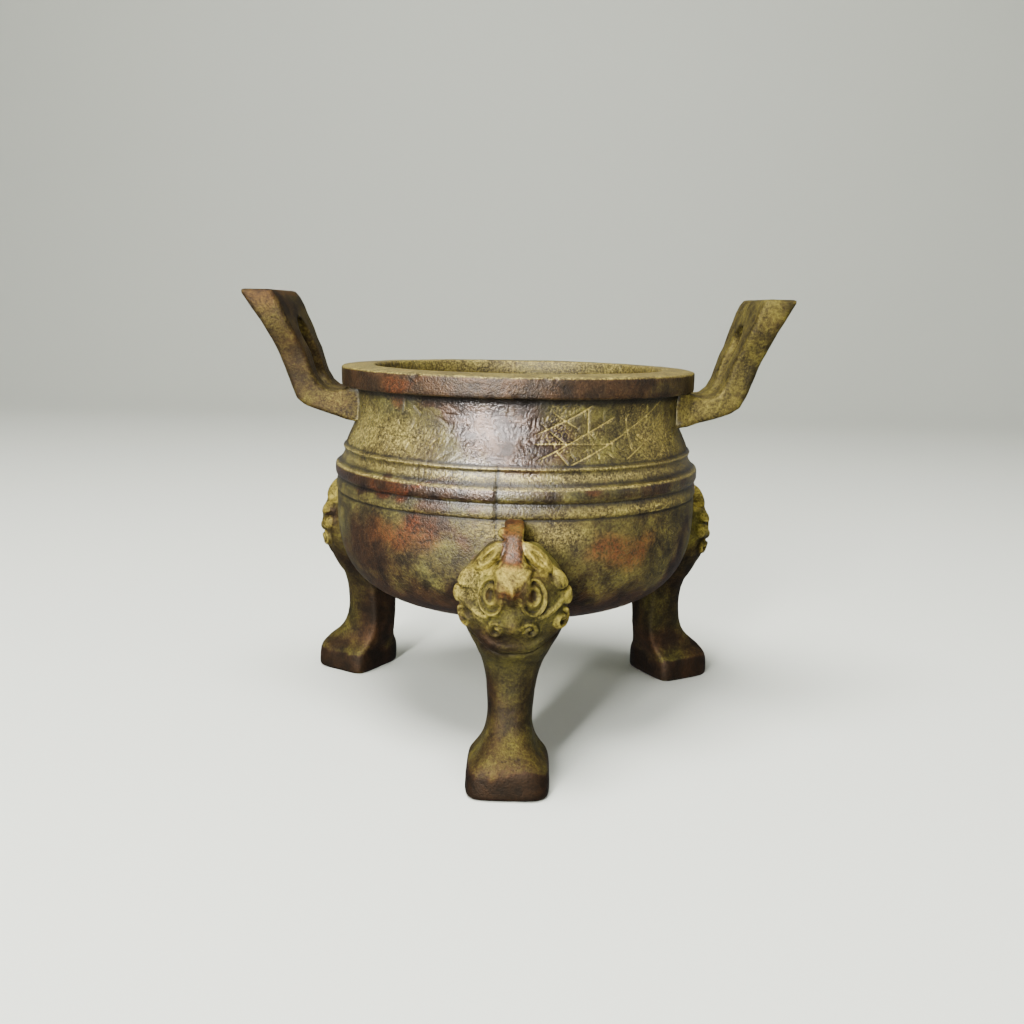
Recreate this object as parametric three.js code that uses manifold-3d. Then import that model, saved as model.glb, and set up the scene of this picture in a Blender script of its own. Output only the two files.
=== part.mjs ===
// A tripod ding: a round bronze bowl with two upright slotted handles on three animal-mask legs.
// Millimetres, +Z up. The vessel was cast in one, so it is one closed mesh.
import * as THREE from "three";
import { mergeVertices } from "three/addons/utils/BufferGeometryUtils.js";
import Module from "manifold-3d";

const wasm = await Module();
wasm.setup();

// Driving dimensions of the whole vessel
const RIM_RADIUS = 70;
const RIM_TOP = 140;
const LIP_HEIGHT = 8;
const LIP_WIDTH = 13;
const NECK_RADIUS = 64.2;
const RIDGE_RADIUS = 73.1;
const RIDGE_TOP = 102.7;
const BELLY_RADIUS = 72.1;
const BELLY_WIDEST_Z = 92.8;
const BELLY_DROP = 47.2;
const BELLY_POWER = 3.48;
const WALL = 4.2;
const BOWL_SIDES = 48;

// The legs stand at these angles, counted from +X; the front one faces -Y
const LEG_ANGLES = [-90, 30, 150];
const LEG_REACH = 99.6;

// The handles stand at +X and -X
const HANDLE_TIP_X = 105;
const HANDLE_TOP_Z = 168.8;
const HANDLE_ROOT_X = 62;
const HANDLE_ROOT_Z = 119;
const HANDLE_HALF_WIDTH_LOW = 18;
const HANDLE_HALF_WIDTH_HIGH = 23;
const SLOT_HALF_WIDTH = 7;
const SLOT_LOW_Z = 131;
const SLOT_HIGH_Z = 158;
const SLOT_INNER_X = 73.5;

// The axis of the bowl sits behind the middle of the box, because one leg reaches forward
const AXIS_Y = (LEG_REACH - RIDGE_RADIUS) / 2;

const rad = THREE.MathUtils.degToRad;
const lerp = THREE.MathUtils.lerp;

// Turns a closed geometry into a solid that can be joined and cut.
function solidOf(geometry) {
  const bare = geometry.clone();
  bare.deleteAttribute("normal");
  bare.deleteAttribute("uv");
  const merged = mergeVertices(bare, 1e-4);
  return new wasm.Manifold(
    new wasm.Mesh({
      numProp: 3,
      vertProperties: new Float32Array(merged.attributes.position.array),
      triVerts: new Uint32Array(merged.index.array),
    }),
  );
}

// Turns a solid back into a geometry that can be drawn.
function geometryOf(solid) {
  const mesh = solid.getMesh();
  const corners = new Float32Array(mesh.numVert * 3);
  for (let i = 0; i < mesh.numVert; i++) {
    corners.set(mesh.vertProperties.subarray(i * mesh.numProp, i * mesh.numProp + 3), i * 3);
  }
  const geometry = new THREE.BufferGeometry();
  geometry.setAttribute("position", new THREE.BufferAttribute(corners, 3));
  geometry.setIndex(new THREE.BufferAttribute(new Uint32Array(mesh.triVerts), 1));
  geometry.computeVertexNormals();
  return geometry;
}

// A closed solid through rings of equal length, each ring running counter-clockwise seen from above.
function loftThrough(rings) {
  const count = rings[0].length;
  const points = rings.flat();
  const faces = [];
  for (let k = 0; k + 1 < rings.length; k++) {
    for (let i = 0; i < count; i++) {
      const a = k * count + i;
      const b = k * count + ((i + 1) % count);
      faces.push(a, b, b + count, a, b + count, a + count);
    }
  }
  const top = (rings.length - 1) * count;
  for (let i = 1; i + 1 < count; i++) {
    faces.push(0, i + 1, i);
    faces.push(top, top + i, top + i + 1);
  }
  const geometry = new THREE.BufferGeometry().setFromPoints(points);
  geometry.setIndex(faces);
  return solidOf(geometry);
}

// Reads the value at z from a list of [z, value] pairs, along straight lines.
function valueAt(pairs, z) {
  let k = 0;
  while (k + 2 < pairs.length && pairs[k + 1][0] < z) k++;
  const [z0, v0] = pairs[k];
  const [z1, v1] = pairs[k + 1];
  return lerp(v0, v1, THREE.MathUtils.clamp((z - z0) / (z1 - z0), 0, 1));
}

// The belly's outer radius at a height, from its swelling curve.
function bellyRadius(z) {
  const share = Math.min(Math.abs(BELLY_WIDEST_Z - z) / BELLY_DROP, 1);
  return BELLY_RADIUS * Math.pow(1 - Math.pow(share, BELLY_POWER), 1 / BELLY_POWER);
}

// Points of the belly's curve from the foot of the bowl up, at even angles of a quarter turn.
function bellyCurve(inset, steps) {
  const points = [];
  for (let i = 0; i < steps; i++) {
    const turn = (i / steps) * (Math.PI / 2);
    const r = (BELLY_RADIUS - inset) * Math.pow(Math.sin(turn), 2 / BELLY_POWER);
    const z = BELLY_WIDEST_Z - (BELLY_DROP - inset) * Math.pow(Math.cos(turn), 2 / BELLY_POWER);
    points.push(new THREE.Vector2(r, z));
  }
  return points;
}

// The bowl: flat everted lip, hollow neck, bead, ridge, two bands and a full belly, turned round.
function bowl() {
  const at = (r, z) => new THREE.Vector2(r, z);
  const outside = [
    ...bellyCurve(0, 7),
    at(71.8, 91.7),
    at(72.4, 92.5),
    at(72.4, 96),
    at(72.2, 97.3),
    at(RIDGE_RADIUS - 0.2, 98.3),
    at(RIDGE_RADIUS, RIDGE_TOP - 0.3),
    at(71.3, 103.4),
    at(69.3, 107.4),
    at(69.9, 109),
    at(68.9, 111.4),
    at(65.3, 118.4),
    at(NECK_RADIUS, 124),
    at(64.5, RIM_TOP - LIP_HEIGHT),
    at(RIM_RADIUS, RIM_TOP - LIP_HEIGHT + 0.4),
    at(RIM_RADIUS, RIM_TOP - 1.5),
    at(RIM_RADIUS - 0.8, RIM_TOP - 0.8),
    at(RIM_RADIUS - 3, RIM_TOP),
  ];
  const inside = [
    at(RIM_RADIUS - LIP_WIDTH, RIM_TOP),
    at(RIM_RADIUS - LIP_WIDTH, RIM_TOP - LIP_HEIGHT + 2),
    at(59.6, RIM_TOP - LIP_HEIGHT - 2),
    at(NECK_RADIUS - WALL, 124),
    at(62.8, 114.8),
    at(BELLY_RADIUS - WALL, 100),
    ...bellyCurve(WALL, 5).reverse(),
  ];
  const profile = [...outside, ...inside];
  const geometry = new THREE.LatheGeometry(profile, BOWL_SIDES);
  geometry.rotateX(Math.PI / 2);
  return solidOf(geometry);
}

// Sections of a leg, from the floor up: z, back, front and half width, as the side and front views show.
const FOOT_HEIGHT = 9;
const SHANK_LOW_Z = 24;
const MASK_MIDDLE_Z = 60;
const SHANK_BACK = 66;
const LEG_SECTIONS = [
  [0, 70.4, 96.4, 13.8],
  [1.2, 69.8, 97.2, 14.6],
  [FOOT_HEIGHT - 1.5, 69.4, 97.2, 14.3],
  [FOOT_HEIGHT + 0.6, 69.2, 96.8, 13.8],
  [12, 68.6, 95.6, 12.4],
  [14, 68, 94, 11],
  [16, 67.4, 91.8, 9.9],
  [19, 66.8, 88.8, 8.6],
  [23.6, 66.1, 86.4, 8],
  [30, SHANK_BACK, 85, 8.2],
  [37, SHANK_BACK, 84.8, 8.9],
  [43.6, SHANK_BACK, 86, 10.5],
  [48, SHANK_BACK, 89.4, 12.8],
  [51, SHANK_BACK, 90.8, 14],
  [55, SHANK_BACK, 92, 16.1],
  [MASK_MIDDLE_Z, SHANK_BACK, 93.4, 18.3],
  [67, SHANK_BACK, 95.6, 19],
  [73, SHANK_BACK, 95.2, 18.3],
  [77, SHANK_BACK, 94.4, 16.3],
  [80, SHANK_BACK, 91.4, 13.4],
  [83.5, SHANK_BACK, 84, 9.5],
];
const LEG_SIDES = 14;
const FRONT_POWER_FOOT = 4.5;
const FRONT_POWER_SHANK = 2.5;
const FRONT_POWER_MASK = 2.6;
const BACK_POWER = 7;
const WIDEST_SHARE = 0.42;
const SINK = 2.5;

// How square the front of a leg is at a height: square foot, round shank, full mask.
function frontPower(z) {
  return valueAt(
    [
      [FOOT_HEIGHT, FRONT_POWER_FOOT],
      [SHANK_LOW_Z, FRONT_POWER_SHANK],
      [MASK_MIDDLE_Z, FRONT_POWER_MASK],
    ],
    z,
  );
}

// The back of a leg runs under the belly's curve, so it sinks a little way into the bowl.
function legBack(z, back) {
  return z > MASK_MIDDLE_Z ? Math.max(back, bellyRadius(z) - SINK) : back;
}

// One ring of a leg: flat behind, rounded in front.
function legRing([z, back, front, half]) {
  const inner = legBack(z, back);
  const middle = inner + (front - inner) * WIDEST_SHARE;
  const ring = [];
  for (let i = 0; i < LEG_SIDES; i++) {
    const turn = ((i + 0.5) / LEG_SIDES) * Math.PI * 2;
    const c = Math.cos(turn);
    const s = Math.sin(turn);
    const power = c > 0 ? frontPower(z) : BACK_POWER;
    const reach = c > 0 ? front - middle : middle - inner;
    const size = Math.pow(Math.pow(Math.abs(c), power) + Math.pow(Math.abs(s), power), -1 / power);
    ring.push(new THREE.Vector3(middle + reach * size * c, half * size * s, z));
  }
  return ring;
}

// The foot, the shank and the swelling body of the mask.
function legBody() {
  return loftThrough(LEG_SECTIONS.map(legRing));
}

// The crest: a fin that rises from the brow, arches back and meets the belly.
const CREST_SECTIONS = [
  [70, 98.4, 6.6],
  [75, 98.2, 6.2],
  [79.5, 96, 5.6],
  [82, 94.2, 4.2],
  [85, 92.6, 3.1],
  [88.2, 90.4, 2.9],
  [90.4, 87.6, 3.2],
  [91.8, 83.4, 3.5],
  [92.6, 77.5, 3.7],
];
function crest() {
  const rings = CREST_SECTIONS.map(([z, front, half]) => {
    const back = bellyRadius(z) - SINK;
    const bevel = Math.min(half * 0.5, (front - back) * 0.25);
    return [
      [front, half - bevel],
      [front - bevel, half],
      [back, half],
      [back, -half],
      [front - bevel, -half],
      [front, -(half - bevel)],
    ].map(([x, y]) => new THREE.Vector3(x, y, z));
  });
  return loftThrough(rings);
}

// The brow plate and the nose: a ridge that narrows downwards and swells again at the snout.
const NOSE_SECTIONS = [
  [56, 91, 7.4],
  [58.5, 95.2, 6.8],
  [62, 97, 5.2],
  [66, 97.6, 3.4],
  [70.5, 98.8, 2.4],
  [72.4, LEG_REACH, 2.2],
  [76, 99.2, 4.4],
  [79.2, 98, 6],
  [80.4, 95.5, 5.4],
];
const NOSE_BACK = 86;
function nose() {
  const rings = NOSE_SECTIONS.map(([z, front, half]) => {
    const bevel = Math.min(half * 0.45, 2);
    return [
      [front, half - bevel],
      [front - bevel * 1.2, half + 0.4],
      [NOSE_BACK, half + 3],
      [NOSE_BACK, -(half + 3)],
      [front - bevel * 1.2, -(half + 0.4)],
      [front, -(half - bevel)],
    ].map(([x, y]) => new THREE.Vector3(x, y, z));
  });
  return loftThrough(rings);
}

// Places a detail on the mask: its own +X looks outwards, turned aside and tilted up by angles in degrees.
function onMask(geometry, { out, side, z, aside = 0, up = 0, spin = 0 }) {
  const turn = new THREE.Matrix4()
    .makeRotationZ(rad(aside))
    .multiply(new THREE.Matrix4().makeRotationY(rad(-up)))
    .multiply(new THREE.Matrix4().makeRotationX(rad(spin)));
  geometry.applyMatrix4(turn);
  geometry.translate(out, side, z);
  return solidOf(geometry);
}

// A flattened ball: half sizes outwards, sideways and upwards.
function ball(out, side, up, around = 6, rings = 4) {
  const geometry = new THREE.SphereGeometry(1, around, rings);
  geometry.rotateX(Math.PI / 2);
  geometry.scale(out, side, up);
  return geometry;
}

// A raised oval ring that looks outwards.
function ovalRing(radius, thick, stretch, around = 12) {
  const geometry = new THREE.TorusGeometry(radius, thick, 4, around);
  geometry.rotateY(Math.PI / 2);
  geometry.scale(1, 1, stretch);
  return geometry;
}

// A raised arc that looks outwards, with closed ends, from one angle to another in degrees.
function arcBar(radius, thick, from, to) {
  const curve = new THREE.CatmullRomCurve3(
    [0, 0.25, 0.5, 0.75, 1].map((share) => {
      const turn = rad(lerp(from, to, share));
      return new THREE.Vector3(0, radius * Math.cos(turn), radius * Math.sin(turn));
    }),
  );
  const section = new THREE.Shape();
  section.moveTo(thick, 0);
  section.lineTo(0, thick);
  section.lineTo(-thick, 0);
  section.lineTo(0, -thick);
  section.closePath();
  return new THREE.ExtrudeGeometry(section, { extrudePath: curve, steps: 6, bevelEnabled: false });
}

// Eye, leaf-shaped ear, two cheek lobes and nostril curl on one side of the mask; side is +1 or -1.
function maskSide(side) {
  const eye = { out: 94.2, side: side * 7.2, z: 70.6, aside: side * 24, up: 4 };
  const ear = { out: 87.6, side: side * 8.6, z: 82.3, aside: side * 28, up: 30, spin: side * -41 };
  const parts = [
    onMask(ovalRing(4.2, 1, 1.45), eye),
    onMask(ball(2.2, 2.2, 2.5), { ...eye, out: eye.out + 0.6 }),
    onMask(ball(2.6, 3.4, 7.4), ear),
    onMask(ball(4.2, 3.4, 5), { out: 87.4, side: side * 15.6, z: 74.2, aside: side * 52 }),
    onMask(ball(4, 3.4, 5), { out: 87.6, side: side * 16.4, z: 64.6, aside: side * 55 }),
    onMask(arcBar(2.6, 0.9, 200, 480), {
      out: 92.6,
      side: side * 6,
      z: 58.2,
      aside: side * 20,
      up: -16,
    }),
  ];
  return parts.reduce((whole, part) => whole.add(part));
}

// One whole leg, standing at +X.
function leg() {
  return legBody().add(crest()).add(nose()).add(maskSide(1)).add(maskSide(-1));
}

// The side view of a handle: it leaves the neck level, bends and rises outwards to a level top.
function handleSide() {
  const outline = new THREE.Shape();
  outline.moveTo(HANDLE_ROOT_X, HANDLE_ROOT_Z - 0.4);
  outline.lineTo(66, HANDLE_ROOT_Z + 0.4);
  outline.lineTo(78, 123);
  outline.lineTo(83, 124.8);
  outline.quadraticCurveTo(87, 126.6, 88.3, 131.7);
  outline.quadraticCurveTo(91.6, 144, 98, 156);
  outline.lineTo(101.7, 162);
  outline.lineTo(HANDLE_TIP_X, HANDLE_TOP_Z - 1.4);
  outline.lineTo(HANDLE_TIP_X - 0.9, HANDLE_TOP_Z);
  outline.lineTo(94.5, HANDLE_TOP_Z);
  outline.lineTo(91.8, 167);
  outline.quadraticCurveTo(88.6, 161.6, 87.2, 155.6);
  outline.quadraticCurveTo(82, 146.5, 79.3, 136.8);
  outline.quadraticCurveTo(77.4, 131.4, 72, 130.2);
  outline.lineTo(67.5, 132.6);
  outline.lineTo(HANDLE_ROOT_X, 132.6);
  outline.closePath();
  return outline;
}

// The front view of a handle: it widens towards the top, with rounded corners.
function handleFront() {
  const low = HANDLE_HALF_WIDTH_LOW;
  const high = HANDLE_HALF_WIDTH_HIGH;
  const right = [
    [low + 1.2, HANDLE_ROOT_Z - 5],
    [low, 127],
    [low, 136],
    [low + 1, 145],
    [high - 1.4, 153],
    [high, 160],
    [high, HANDLE_TOP_Z - 3],
    [high - 2, HANDLE_TOP_Z + 1],
  ];
  const left = right.map(([y, z]) => [-y, z]).reverse();
  return new THREE.Shape([...right, ...left].map(([y, z]) => new THREE.Vector2(y, z)));
}

// The outline of the slot: straight sides with half-round ends.
function slotOutline() {
  const outline = new THREE.Shape();
  const r = SLOT_HALF_WIDTH;
  outline.absarc(0, SLOT_LOW_Z + r, r, Math.PI, Math.PI * 2);
  outline.absarc(0, SLOT_HIGH_Z - r, r, 0, Math.PI);
  return outline;
}

// Extrudes an outline of the side view (x, z) through the given width in y.
function alongY(outline, half) {
  const geometry = new THREE.ExtrudeGeometry(outline, { depth: half * 2, bevelEnabled: false, curveSegments: 4 });
  geometry.rotateX(Math.PI / 2);
  geometry.translate(0, half, 0);
  return solidOf(geometry);
}

// Extrudes an outline of the front view (y, z) from one x to another.
function alongX(outline, from, to) {
  const geometry = new THREE.ExtrudeGeometry(outline, { depth: to - from, bevelEnabled: false, curveSegments: 6 });
  geometry.applyMatrix4(new THREE.Matrix4().set(0, 0, 1, from, 1, 0, 0, 0, 0, 1, 0, 0, 0, 0, 0, 1));
  return solidOf(geometry);
}

// One whole handle, at +X.
function handle() {
  return alongY(handleSide(), HANDLE_HALF_WIDTH_HIGH + 5)
    .intersect(alongX(handleFront(), HANDLE_ROOT_X - 5, HANDLE_TIP_X + 5))
    .subtract(alongX(slotOutline(), SLOT_INNER_X, HANDLE_TIP_X + 5));
}

function vessel() {
  let whole = bowl();
  for (const angle of LEG_ANGLES) whole = whole.add(leg().rotate([0, 0, angle]));
  for (const angle of [0, 180]) whole = whole.add(handle().rotate([0, 0, angle]));
  return whole;
}

const bronze = new THREE.MeshStandardMaterial({ color: 0x6f6236, roughness: 0.45, metalness: 0.7 });

const ding = new THREE.Mesh(geometryOf(vessel()), bronze);
ding.name = "ding_vessel";
ding.position.set(0, AXIS_Y, 0);

const model = new THREE.Group();
model.add(ding);

export default model;
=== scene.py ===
# A bronze tripod ding with animal-mask legs, an engraved neck and slotted handles.
# The vessel is one casting, so one finely modelled mesh stands for its solid.
import math
from types import SimpleNamespace

import bpy
import numpy as np
import openvdb
from mathutils import Matrix, Vector


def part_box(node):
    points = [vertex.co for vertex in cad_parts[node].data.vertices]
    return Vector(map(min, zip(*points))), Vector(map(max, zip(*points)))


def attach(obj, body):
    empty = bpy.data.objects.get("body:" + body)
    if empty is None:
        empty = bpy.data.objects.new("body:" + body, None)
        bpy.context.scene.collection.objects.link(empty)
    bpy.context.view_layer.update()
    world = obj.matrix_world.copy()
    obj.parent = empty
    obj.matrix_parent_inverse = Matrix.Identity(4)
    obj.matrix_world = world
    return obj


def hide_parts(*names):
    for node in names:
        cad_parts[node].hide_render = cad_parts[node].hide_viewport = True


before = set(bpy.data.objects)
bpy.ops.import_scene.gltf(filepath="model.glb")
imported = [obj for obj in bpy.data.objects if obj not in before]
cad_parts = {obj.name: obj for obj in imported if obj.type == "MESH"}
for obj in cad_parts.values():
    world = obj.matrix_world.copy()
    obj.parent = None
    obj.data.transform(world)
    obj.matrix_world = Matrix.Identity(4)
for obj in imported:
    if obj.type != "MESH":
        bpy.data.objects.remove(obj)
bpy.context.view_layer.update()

MM = 0.001

# Driving dimensions in millimetres, the same as the solid's
RIM_RADIUS = 70.0
RIM_TOP = 140.0
LIP_HEIGHT = 8.0
LIP_WIDTH = 13.0
NECK_RADIUS = 64.2
RIDGE_RADIUS = 73.1
RIDGE_TOP = 102.7
BELLY_RADIUS = 72.1
BELLY_WIDEST_Z = 92.8
BELLY_DROP = 47.2
BELLY_POWER = 3.48
WALL = 4.2
LEG_ANGLES = (-90.0, 30.0, 150.0)
LEG_REACH = 99.6
HANDLE_TIP_X = 105.0
HANDLE_TOP_Z = 168.8
HANDLE_HALF_LOW = 18.0
HANDLE_HALF_HIGH = 23.0
SLOT_HALF_WIDTH = 7.0
SLOT_LOW_Z = 131.0
SLOT_HIGH_Z = 158.0
FOOT_HEIGHT = 9.0

# The bowl's axis stands behind the origin, as far as the box of the solid says
low_corner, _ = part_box("ding_vessel")
AXIS_Y = low_corner.y / MM + LEG_REACH

# Mesh density: columns round the bowl where it is engraved, plain and inside, how much closer they stand at
# the front, steps along the profile, the grids of the carved parts and the triangles they are thinned to
FINE_COLUMNS = 720
PLAIN_COLUMNS = 360
INNER_COLUMNS = 180
FRONT_CLOSENESS = 0.35
BELLY_STEP = 3.1
NECK_STEP = 0.46
INSIDE_STEP = 3.6
CURVE_STEPS = 300
CARVING_GRID = 0.45
HANDLE_GRID = 0.6
LEG_TRIANGLES = 14000
HANDLE_TRIANGLES = 7000


# Numbers that wander smoothly through space, between -1 and 1, the same on every run
def wander(x, y, z, size, seed):
    cells = 32
    table = np.random.default_rng(seed).uniform(-1.0, 1.0, (cells, cells, cells)).astype(np.float32)
    total = 0.0
    corners = []
    for values in (x, y, z):
        place = np.asarray(values, np.float32) / size
        floor = np.floor(place)
        share = place - floor
        corners.append((floor.astype(np.int32), share * share * (3.0 - 2.0 * share)))
    (i, u), (j, v), (k, w) = corners
    for a in (0, 1):
        for b in (0, 1):
            for c in (0, 1):
                weight = (u if a else 1 - u) * (v if b else 1 - v) * (w if c else 1 - w)
                total = total + weight * table[(i + a) % cells, (j + b) % cells, (k + c) % cells]
    return total


def rough_surface(x, y, z, size, seed, layers=3):
    total = 0.0
    for layer in range(layers):
        total = total + wander(x, y, z, size / 2.0**layer, seed + layer) / 1.8**layer
    return total


def step_between(low, high, value):
    share = np.clip((value - low) / (high - low), 0.0, 1.0)
    return share * share * (3.0 - 2.0 * share)


# Distance from points (p, q) to a polyline, both in millimetres
def distance_to_line(p, q, points):
    best = np.full(np.broadcast(p, q).shape, 1e9, np.float32)
    for (p0, q0), (p1, q1) in zip(points[:-1], points[1:]):
        dp, dq = p1 - p0, q1 - q0
        share = np.clip(((p - p0) * dp + (q - q0) * dq) / (dp * dp + dq * dq), 0.0, 1.0)
        best = np.minimum(best, np.hypot(p - p0 - share * dp, q - q0 - share * dq))
    return best


# Signed distance to a closed outline, negative inside
def distance_to_outline(p, q, points):
    closed = list(points) + [points[0]]
    distance = distance_to_line(p, q, closed)
    inside = np.zeros(distance.shape, bool)
    for (p0, q0), (p1, q1) in zip(closed[:-1], closed[1:]):
        if q0 == q1:
            continue
        crosses = (q0 > q) != (q1 > q)
        inside ^= crosses & (p < (p1 - p0) * (q - q0) / (q1 - q0) + p0)
    return np.where(inside, -distance, distance)


# Joins and cuts of distances with a soft edge of the given size
def soft_union(a, b, size):
    share = np.clip(0.5 + 0.5 * (b - a) / size, 0.0, 1.0)
    return b + (a - b) * share - size * share * (1.0 - share)


def soft_common(a, b, size):
    return -soft_union(-a, -b, size)


# A smooth curve through pairs of (height, value), read at any height
def soft_table(pairs, softness=1.6):
    pairs = sorted(pairs)
    heights = np.arange(pairs[0][0] - 4.0, pairs[-1][0] + 4.0, 0.1)
    values = np.interp(heights, [p[0] for p in pairs], [p[1] for p in pairs])
    width = max(int(softness / 0.1) | 1, 3)
    for _ in range(2):
        padded = np.pad(values, width // 2, mode="edge")
        values = np.convolve(padded, np.ones(width) / width, mode="valid")
    return lambda z: np.interp(z, heights, values)


# Catmull-Rom curve through the points, with the given number of steps to each span
def curve_through(points, steps):
    points = [np.array(p, float) for p in points]
    ends = [2 * points[0] - points[1]] + points + [2 * points[-1] - points[-2]]
    out = []
    for a, b, c, d in zip(ends[:-3], ends[1:-2], ends[2:-1], ends[3:]):
        for i in range(steps):
            t = i / steps
            bend = (2 * a - 5 * b + 4 * c - d) * t * t + (3 * b - a - 3 * c + d) * t**3
            out.append(tuple(b + 0.5 * ((c - a) * t + bend)))
    out.append(tuple(points[-1]))
    return out


# The belly's swelling curve from its foot up, moved in by the wall for the inside
def belly_curve(inset, steps):
    points = []
    for i in range(steps):
        turn = i / steps * math.pi / 2
        r = (BELLY_RADIUS - inset) * math.sin(turn) ** (2 / BELLY_POWER)
        z = BELLY_WIDEST_Z - (BELLY_DROP - inset) * math.cos(turn) ** (2 / BELLY_POWER)
        points.append((r, z))
    return points


def belly_radius(z):
    share = np.minimum(np.abs(BELLY_WIDEST_Z - z) / BELLY_DROP, 1.0)
    return BELLY_RADIUS * (1.0 - share**BELLY_POWER) ** (1.0 / BELLY_POWER)


# The bands between the belly and the neck, from below: groove, band, groove, ridge, hollow and bead
BANDS = [
    (72.0, 91.0), (71.7, 91.5), (71.65, 91.9), (72.2, 92.4), (72.4, 93.0), (72.45, 94.4), (72.2, 95.9),
    (71.8, 96.6), (71.55, 97.1), (71.7, 97.7), (72.4, 98.2), (72.65, 99.0), (RIDGE_RADIUS - 0.4, 100.4),
    (72.65, 101.8), (72.45, 102.4), (72.1, RIDGE_TOP), (71.2, 103.1), (70.6, 103.8), (69.8, 105.0),
    (69.15, 106.3), (68.9, 107.6), (69.0, 108.2), (69.4, 108.6), (69.5, 109.0), (69.3, 109.5),
    (68.5, 109.9),
]
# The profile goes on up the neck, over the flat lip and down inside
NECK = [
    (68.3, 110.4), (67.7, 112.2), (66.5, 114.8), (65.1, 118.0), (64.3, 121.2), (NECK_RADIUS - 0.2, 124.2),
    (63.9, 127.5), (64.2, 130.2), (64.6, 131.4),
]
LIP = [
    (65.0, 131.9), (67.0, RIM_TOP - LIP_HEIGHT), (69.3, 132.1), (69.8, 132.4), (RIM_RADIUS, 133.0),
    (RIM_RADIUS, 134.6), (RIM_RADIUS, 136.2), (RIM_RADIUS, 137.8), (RIM_RADIUS, 138.8), (69.85, 139.3),
    (69.4, 139.6), (68.6, 139.75), (66.4, 139.9), (63.4, RIM_TOP), (60.4, RIM_TOP + 0.15),
    (58.4, RIM_TOP + 0.2), (57.6, RIM_TOP + 0.05), (57.15, 139.6), (RIM_RADIUS - LIP_WIDTH, 139.0),
]
INSIDE = [
    (RIM_RADIUS - LIP_WIDTH, 136.5), (57.1, 134.2), (57.9, 132.0), (59.3, 129.8), (60.0, 127.0),
    (60.0, 124.0), (60.6, 120.5), (61.9, 116.8), (63.8, 112.6), (65.8, 108.0), (67.2, 103.8),
    (67.8, 99.0),
]


# Lines of the net engraved on the neck, by their ends and bends: (degrees from the front leg, height) pairs
NET = [
    [(1.5, 118), (24.5, 129.5)],
    [(4, 110.5), (33, 126)],
    [(16, 110), (32, 117.5), (57.5, 131)],
    [(36, 111.5), (60, 124)],
    [(47.5, 110), (63.5, 117.5)],
    [(2, 117.5), (32, 117)],
    [(12.5, 127.5), (20, 122.5)],
    [(11, 121.5), (15, 118)],
    [(23.5, 129), (23.5, 119.5)],
    [(38, 126.5), (39, 114)],
    [(43, 119.5), (51, 114.5)],
    [(43, 112.5), (46.5, 110)],
    [(1.5, 118), (3, 116)],
    [(12.5, 115), (16, 110)],
]
FAINT_NET = [
    [(-50, 121), (-38.5, 112)],
    [(-46.5, 117.5), (-33, 117.5)],
    [(-32, 117.5), (-26.5, 114.5)],
    [(-22.5, 126.5), (-16, 126.5)],
    [(-21.5, 129.5), (-16, 126.5)],
    [(-20, 119.5), (-15, 117.5), (-11.5, 120)],
    [(-41.5, 114), (-34, 112)],
    [(-45, 110.5), (-43.5, 112.5)],
]

# The engraved part of the neck, the reach of one line, the width of one degree there, and how deep the lines
# and grains are and how far apart the grains lie
NECK_LOW_Z = 110.2
NECK_HIGH_Z = 131.6
LINE_REACH = 1.2
DEGREE_MM = math.radians(1.0) * NECK_RADIUS
LINE_DEPTH = 0.34
GRAIN_DEPTH = 0.26
GRAIN_PITCH = 2.7

# Hands have worn the front nearly smooth, left of the middle: its direction, core, edge and share worn off
WORN_AT = -8.0
WORN_CORE = 6.0
WORN_EDGE = 18.0
WORN_SHARE = 0.75

# The slopes of the short strokes, in degrees
STROKE_SLOPES = [27.0, -33.0, 80.0]


# Short strokes scattered over the neck between the long lines
def short_strokes(count, seed):
    random = np.random.default_rng(seed)
    strokes = []
    for _ in range(count):
        at, height = random.uniform(-180.0, 180.0), random.uniform(111.5, 129.5)
        slope = math.radians(random.choice(STROKE_SLOPES) + random.uniform(-14.0, 14.0))
        half = random.uniform(0.7, 2.2)
        reach = half * math.cos(slope) / DEGREE_MM
        rise = half * math.sin(slope)
        bend = random.uniform(-0.4, 0.4)
        strokes.append([(at - reach, height - rise), (at, height + bend), (at + reach, height + rise)])
    return strokes


# Which lines are engraved: the lines, how many degrees round the neck they start, and how strong they are
ENGRAVING = [
    (NET, 0.0, 1.0),
    (NET, 90.0, 0.8),
    (NET, 180.0, 0.9),
    (NET, 240.0, 0.8),
    (FAINT_NET, 0.0, 0.6),
    (FAINT_NET, 270.0, 0.9),
    (short_strokes(260, 33), 0.0, 0.85),
]


# Degrees round the bowl, counted from the front leg, for points given from the bowl's axis
def bowl_place(x, y):
    return np.degrees(np.arctan2(x, -y))


def wrapped(degrees):
    return (degrees + 180.0) % 360.0 - 180.0


# How near each point of the neck lies to an engraved line: 1 on it, 0 at the given reach and beyond
def net_strength(degrees, z, reach):
    strength = np.zeros(np.shape(degrees), np.float32)
    for lines, offset, weight in ENGRAVING:
        along = wrapped(degrees - offset) * DEGREE_MM
        for line in lines:
            points = [(a * DEGREE_MM, h) for a, h in line]
            left, right = min(p[0] for p in points) - 2, max(p[0] for p in points) + 2
            low, high = min(p[1] for p in points) - 2, max(p[1] for p in points) + 2
            near = (along > left) & (along < right) & (z > low) & (z < high)
            if not near.any():
                continue
            distance = distance_to_line(along[near], z[near], points)
            value = np.clip(1.0 - distance / reach, 0.0, 1.0) - 0.35 * (1.0 - weight)
            strength[near] = np.maximum(strength[near], value)
    return strength


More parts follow.
